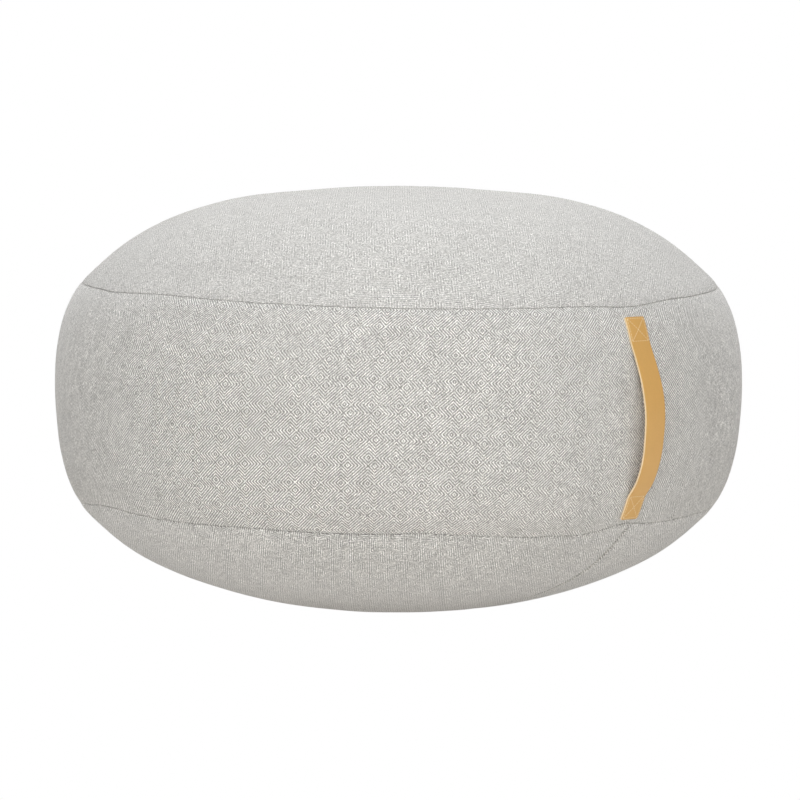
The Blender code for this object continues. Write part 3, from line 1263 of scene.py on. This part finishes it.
@dataclass
class CarryStrap:
    """The leather strap: sewn down at both ends, standing off the band between them."""

    form: PoufForm
    # The strap's back: height above the floor, distance off the band
    route: tuple[tuple[float, float], ...] = (
        (0.3086, 0.0003), (0.2970, 0.0003), (0.2835, 0.0004), (0.2610, 0.0047), (0.2420, 0.0094),
        (0.2190, 0.0131), (0.1940, 0.0133), (0.1680, 0.0110), (0.1470, 0.0062), (0.1325, 0.0006),
        (0.1210, 0.0003), (0.1099, 0.0003),
    )
    # Share of the strap's length, width there in metres
    widths: tuple[tuple[float, float], ...] = (
        (0.00, 0.0262), (0.18, 0.0260), (0.38, 0.0276), (0.55, 0.0264), (0.72, 0.0244), (1.00, 0.0230),
    )
    drift: tuple[float, float] = (-4.6 * MM, -0.9 * MM)
    thickness: float = 2.3 * MM
    corner: float = 1.6 * MM
    edge: float = 0.45 * MM
    cupping: float = 0.35 * MM
    row_step: float = 1.6 * MM
    columns: int = 12
    # Shares of the corner's radius at which its rows of points lie
    corner_rows: tuple[float, ...] = (0.0, 0.12, 0.4, 1.0)
    sharpest: float = math.radians(50.0)
    facing_share: float = 0.8
    stitch_inset: float = 1.9 * MM
    stitch_pitch: float = 3.0 * MM
    stitch_length: float = 2.5 * MM
    thread_width: float = 0.55 * MM
    thread_lift: float = 0.0275 * MM
    box_lengths: tuple[float, float] = (22.8 * MM, 24.6 * MM)

    def __post_init__(self) -> None:
        """Lay the strap's line over the settled band."""
        form = self.form
        points = []
        for height, off in self.route:
            arc = form.arc_at(height)
            away = [(arc - box) * form.strap_dimple_stretch for box in form.boxes]
            press = sum(
                form.strap_press * math.exp(-((off_box / form.strap_dimple_reach) ** 2))
                for off_box in away
            )
            lift = np.array([off - press])
            place = form.place(np.array([arc]), np.zeros(1), lift)[0]
            points.append((place[0], place[2]))
        self.line, self.arcs = smooth_curve(points, form.step)
        self.length = float(self.arcs[-1])

    def half_width(self, along: float) -> float:
        """Return half the strap's width at a distance along it, with its corners rounded.

        Args:
            along: Distance from the strap's upper end.

        Returns:
            Half the width.
        """
        shares, widths = zip(*self.widths)
        half = float(np.interp(along / self.length, shares, widths)) / 2.0
        short = max(0.0, self.corner - min(along, self.length - along))
        return half - self.corner + math.sqrt(self.corner**2 - short**2)

    def frame_at(self, along: float) -> tuple[Vector, Vector, Vector]:
        """Return a point of the strap's back, its direction down the strap and its outward one.

        Args:
            along: Distance from the strap's upper end.

        Returns:
            The point and both directions.
        """
        step = self.form.step * 3
        point, before, after = (
            np.array([np.interp(spot, self.arcs, self.line[:, axis]) for axis in (0, 1)])
            for spot in (along, along - step, along + step)
        )
        ahead = after - before
        down = Vector((ahead[0], 0.0, ahead[1])).normalized()
        outward = Vector((0.0, 1.0, 0.0)).cross(down)
        return Vector((point[0], 0.0, point[1])), down, -outward

    def face_point(self, across: float, along: float, lift: float) -> Vector:
        """Return a point on or above the strap's grain side.

        Args:
            across: Distance from the strap's middle line, towards +Y.
            along: Distance from its upper end.
            lift: Height above the grain side.

        Returns:
            The point.
        """
        back, _, outward = self.frame_at(along)
        share = across / (self.widths[0][1] / 2.0)
        height = self.thickness + lift - self.cupping * share**2
        upper, lower = self.drift
        aside = upper + (lower - upper) * along / self.length
        return back + outward * height + Vector((0.0, across + aside, 0.0))

    def strip(self) -> bmesh.types.BMesh:
        """Model the strip of leather with its rounded corners and eased edges."""
        ends = [self.corner * share for share in self.corner_rows]
        count = math.ceil((self.length - 2.0 * self.corner) / self.row_step) + 1
        inner = list(np.linspace(self.corner, self.length - self.corner, count)[1:-1])
        stations = ends + inner + [self.length - end for end in reversed(ends)]
        bm = bmesh.new()
        bmesh.ops.create_grid(bm, x_segments=self.columns, y_segments=len(stations) - 1, size=1.0)
        levels = sorted({round(vert.co.y, 6) for vert in bm.verts}, reverse=True)
        rank = {level: number for number, level in enumerate(levels)}
        for vert in bm.verts:
            along = float(stations[rank[round(vert.co.y, 6)]])
            across = vert.co.x * self.half_width(along)
            vert.co = self.face_point(across, along, 0.0)
        bmesh.ops.recalc_face_normals(bm, faces=bm.faces)
        if bm.faces[0].normal.x < 0.0:
            bmesh.ops.reverse_faces(bm, faces=bm.faces)
        bmesh.ops.solidify(bm, geom=list(bm.faces), thickness=self.thickness)
        bmesh.ops.recalc_face_normals(bm, faces=bm.faces)
        rims = [edge for edge in bm.edges if edge.calc_face_angle() > self.sharpest]
        bmesh.ops.bevel(
            bm,
            geom=rims,
            offset=self.edge,
            segments=3,
            profile=0.5,
            affect="EDGES",
            material=-1,
        )
        return bm

    def paint_sides(self, mesh: bpy.types.Mesh) -> None:
        """Give the grain side, the cut edges and the flesh side their own materials.

        Args:
            mesh: The strap's mesh.
        """
        for face in mesh.polygons:
            along = float(np.interp(-face.center.z, -self.line[:, 1], self.arcs))
            _, down, outward = self.frame_at(along)
            facing = face.normal.dot(outward)
            side = StrapSide.CUT
            if abs(facing) > self.facing_share:
                side = StrapSide.GRAIN if facing > 0.0 else StrapSide.FLESH
            face.material_index = side.value

    def stitch_runs(self) -> list[tuple[tuple[float, float], tuple[float, float]]]:
        """Return the straight runs of stitches of both boxes and their crosses.

        Returns:
            The two ends of each run, each as a distance across and a distance along the strap.
        """
        runs = []
        upper, lower = self.box_lengths
        last = self.length - self.stitch_inset
        for start, end in ((self.stitch_inset, self.stitch_inset + upper), (last - lower, last)):
            half = self.half_width((start + end) / 2.0) - self.stitch_inset
            corners = [(-half, start), (half, start), (half, end), (-half, end)]
            runs += list(zip(corners, corners[1:] + corners[:1]))
            runs += [(corners[0], corners[2]), (corners[1], corners[3])]
        return runs

    def stitches(self) -> bmesh.types.BMesh:
        """Model every stitch as a short round of thread that dips at both ends."""
        bm = bmesh.new()
        size = Matrix.Diagonal((self.stitch_length, self.thread_width, self.thread_width, 1.0))
        for ends in self.stitch_runs():
            first, last = np.array(ends)
            reach = last - first
            count = max(2, round(math.hypot(*reach) / self.stitch_pitch))
            for number in range(count):
                share = (number + 0.5) / count
                here = first + reach * share
                ahead = first + reach * (share + 0.25 / count)
                spot = self.face_point(*here, self.thread_lift)
                target = self.face_point(*ahead, self.thread_lift)
                _, _, outward = self.frame_at(here[1])
                direction = (target - spot).normalized()
                side = outward.cross(direction).normalized()
                turn = Matrix((direction, side, outward)).transposed().to_4x4()
                bmesh.ops.create_uvsphere(
                    bm,
                    u_segments=8,
                    v_segments=6,
                    radius=0.5,
                    matrix=Matrix.Translation(spot) @ turn @ size,
                )
        return bm

    def build(self, finishes: Sequence[bpy.types.Material], thread: bpy.types.Material) -> None:
        """Model and dress the strap and its stitches.

        Args:
            finishes: The leather's materials, in the order of StrapSide.
            thread: The thread's material.
        """
        mesh = finished_mesh("strap_leather", self.strip())
        strap = make_object("strap_leather", mesh, finishes)
        self.paint_sides(mesh)
        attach(strap, "root")
        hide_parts("handle_strap")
        LOG.info("strap_leather: %d faces, %.0f mm long", len(mesh.polygons), self.length / MM)
        mesh = finished_mesh("strap_stitches", self.stitches())
        sewing = make_object("strap_stitches", mesh, [thread])
        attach(sewing, "root")
        LOG.info("strap_stitches: %d faces", len(mesh.polygons))


@dataclass(frozen=True)
class SoftLight:
    """A square soft light that faces the pouf."""

    name: str
    turn: float
    rise: float
    size: float
    power: float
    distance: float = 3.2


@dataclass
class Studio:
    """A white floor and surround, soft light, and a long lens from a little above."""

    azimuth: float = 46.0
    elevation: float = 4.3
    distance: float = 5.957
    aim: tuple[float, float, float] = (0.0, 0.0, 0.209)
    aim_right: float = 1.9 * MM
    image_width: float = 800.0
    focal_pixels: float = 5837.5
    sensor: float = 36.0
    floor_size: float = 400.0
    floor_shade: tuple[float, float, float] = (0.70, 0.685, 0.66)
    floor_tint: tuple[float, float, float] = (1.0, 0.965, 0.92)
    floor_glow: float = 0.33
    surround: float = 0.02
    # Degrees to the camera's right, degrees above the horizon, side in metres, watts
    lights: tuple[SoftLight, ...] = (
        SoftLight("overhead", 0.0, 88.0, 3.0, 61.0),
        SoftLight("front", 0.0, 35.0, 2.0, 56.5),
        SoftLight("right", 60.0, 30.0, 2.0, 4.0),
        SoftLight("low", -10.0, 6.0, 1.5, 8.0),
        SoftLight("behind", 180.0, 45.0, 2.5, 65.0),
    )

    def away(self, turn: float, rise: float) -> Vector:
        """Return the direction from the pouf to a place round it.

        Args:
            turn: Degrees to the right of the camera.
            rise: Degrees above the horizon.

        Returns:
            The direction.
        """
        around = math.radians(self.azimuth + turn)
        up = math.radians(rise)
        return Vector(
            (math.sin(around) * math.cos(up), -math.cos(around) * math.cos(up), math.sin(up))
        )

    def camera(self) -> None:
        """Set up the camera."""
        data = bpy.data.cameras.new("camera")
        data.sensor_width = self.sensor
        data.lens = self.focal_pixels * self.sensor / self.image_width
        data.clip_end = self.floor_size
        around = math.radians(self.azimuth)
        right = Vector((math.cos(around), math.sin(around), 0.0))
        aim = Vector(self.aim) + right * self.aim_right
        back = self.away(0.0, self.elevation)
        bpy.context.scene.camera = self.post(data, aim, back, self.distance)

    @staticmethod
    def post(
        data: bpy.types.Camera | bpy.types.Light, aim: Vector, away: Vector, distance: float
    ) -> bpy.types.Object:
        """Put a camera or a light into the scene, turned towards a point.

        Args:
            data: The camera or light.
            aim: The point.
            away: The direction from the point to its place.
            distance: The distance from the point.

        Returns:
            The object, named as its data.
        """
        item = bpy.data.objects.new(data.name, data)
        item.location = aim + away * distance
        item.rotation_euler = (-away).to_track_quat("-Z", "Y").to_euler()
        bpy.context.scene.collection.objects.link(item)
        return item

    def white_to_camera(self, sheet: NodeSheet, shader: bpy.types.NodeSocket, surface: str) -> None:
        """Show a surface as plain white to the camera, whatever light it sends to the pouf.

        Args:
            sheet: The sheet of the surface's tree.
            shader: The shader that lights the pouf.
            surface: The name of the tree's output node.
        """
        glow = sheet.add("Emission", {"Color": (1.0, 1.0, 1.0, 1.0), "Strength": 1.0})
        seen = sheet.add("LightPath").outputs["Is Camera Ray"]
        mix = sheet.add("MixShader", {0: seen, 1: shader, 2: glow.outputs[0]})
        sheet.feed(sheet.tree.nodes[surface].inputs["Surface"], mix.outputs[0])

    def floor(self) -> None:
        """Lay a plain white floor."""
        bm = bmesh.new()
        bmesh.ops.create_grid(bm, x_segments=1, y_segments=1, size=self.floor_size / 2.0)
        mesh = finished_mesh("floor", bm)
        material, sheet, shader = start_material("studio_floor")
        shader.inputs["Base Color"].default_value = (*self.floor_shade, 1.0)
        shader.inputs["Roughness"].default_value = 1.0
        shader.inputs["Specular IOR Level"].default_value = 0.0
        shader.inputs["Emission Color"].default_value = (*self.floor_tint, 1.0)
        shader.inputs["Emission Strength"].default_value = self.floor_glow
        self.white_to_camera(sheet, shader.outputs[0], "Material Output")
        floor = make_object("floor", mesh, [material])

    def hang(self, light: SoftLight) -> None:
        """Hang one light.

        Args:
            light: The light.
        """
        data = bpy.data.lights.new(light.name, "AREA")
        data.size = light.size
        data.energy = light.power
        away = self.away(light.turn, light.rise)
        self.post(data, Vector(self.aim), away, light.distance)

    def build(self) -> None:
        """Build the whole studio."""
        scene = bpy.context.scene
        world = bpy.data.worlds.new("studio")
        world.use_nodes = True
        backdrop = world.node_tree.nodes["Background"]
        backdrop.inputs["Color"].default_value = (1.0, 1.0, 1.0, 1.0)
        backdrop.inputs["Strength"].default_value = self.surround
        self.white_to_camera(NodeSheet(world.node_tree), backdrop.outputs[0], "World Output")
        scene.world = world
        scene.view_settings.view_transform = "Standard"
        scene.view_settings.look = "None"
        self.camera()
        self.floor()
        for light in self.lights:
            self.hang(light)
        LOG.info("studio: %d lights, camera at azimuth %.0f", len(self.lights), self.azimuth)


def main() -> None:
    """Load the frame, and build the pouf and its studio."""
    logging.basicConfig(level=logging.INFO, format="%(name)s %(message)s")
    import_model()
    form = PoufForm()
    crown_wool = GreyWool(
        "wool_of_crown", clearness=0.42, unevenness=0.65, nap=0.3, sheen=0.3, sheen_roughness=0.55
    ).material()
    band_wool = GreyWool("wool_of_band", clearness=0.91).material()
    base_wool = GreyWool(
        "wool_of_base", clearness=0.80, unevenness=1.45, nap=0.9, sheen=1.0, sheen_roughness=0.45
    ).material()
    # Colour, roughness, grain: cells in a metre and depth, strength of the patches
    looks = {
        StrapSide.GRAIN: ((0.66, 0.385, 0.125), 0.46, 1500.0, 0.12 * MM, 0.10),
        StrapSide.CUT: ((0.84, 0.66, 0.42), 0.62, 2500.0, 0.15 * MM, 0.16),
        StrapSide.FLESH: ((0.62, 0.43, 0.23), 0.85, 3000.0, 0.25 * MM, 0.25),
    }
    leathers = [TanLeather(side, *look).material() for side, look in looks.items()]
    Studio().build()
    Crown(form).build(crown_wool)
    Band(form).build(band_wool)
    left = BaseHalf(form, "base_cloth_left", "base_half_left", side=1)
    left.build(base_wool)
    right = BaseHalf(form, "base_cloth_right", "base_half_right", side=-1, grain_turn=-1.0)
    right.build(base_wool)
    CarryStrap(form).build(leathers, CreamThread().material())


if __name__ == "__main__":
    main()
